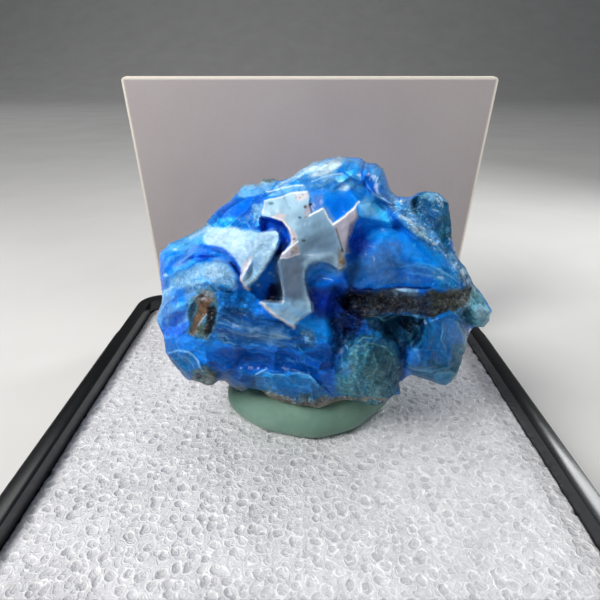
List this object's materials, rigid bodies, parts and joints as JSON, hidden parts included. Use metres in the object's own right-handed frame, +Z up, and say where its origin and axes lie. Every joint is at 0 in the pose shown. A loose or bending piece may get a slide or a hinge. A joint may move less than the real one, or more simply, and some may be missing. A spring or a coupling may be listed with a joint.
{
  "type": "mineral specimen",
  "caption": "Blue allophane thumbnail specimen held by putty on the foam of a small square black box base, with a pale card standing behind it.",
  "frame": {"origin": "centre of the underside of the box base", "axes": "+Z up, -Y towards the front that the picture shows, +X to its right"},
  "size_m": [0.0362, 0.0354, 0.0262],
  "materials": {
    "box_plastic": "glossy moulded black polystyrene",
    "white_foam": "white closed-cell foam with small open bubbles at its cut surface",
    "mineral_putty": "matt mint-green putty",
    "allophane_stone": "waxy translucent blue with a pale opaque band and rough granular matrix",
    "pale_card": "smooth pale grey card"
  },
  "bodies": {
    "root": {"tray": "box_plastic", "foam_pad": "white_foam", "putty": "mineral_putty", "allophane": "allophane_stone", "backing_card": "pale_card"}
  },
  "joints": []
}
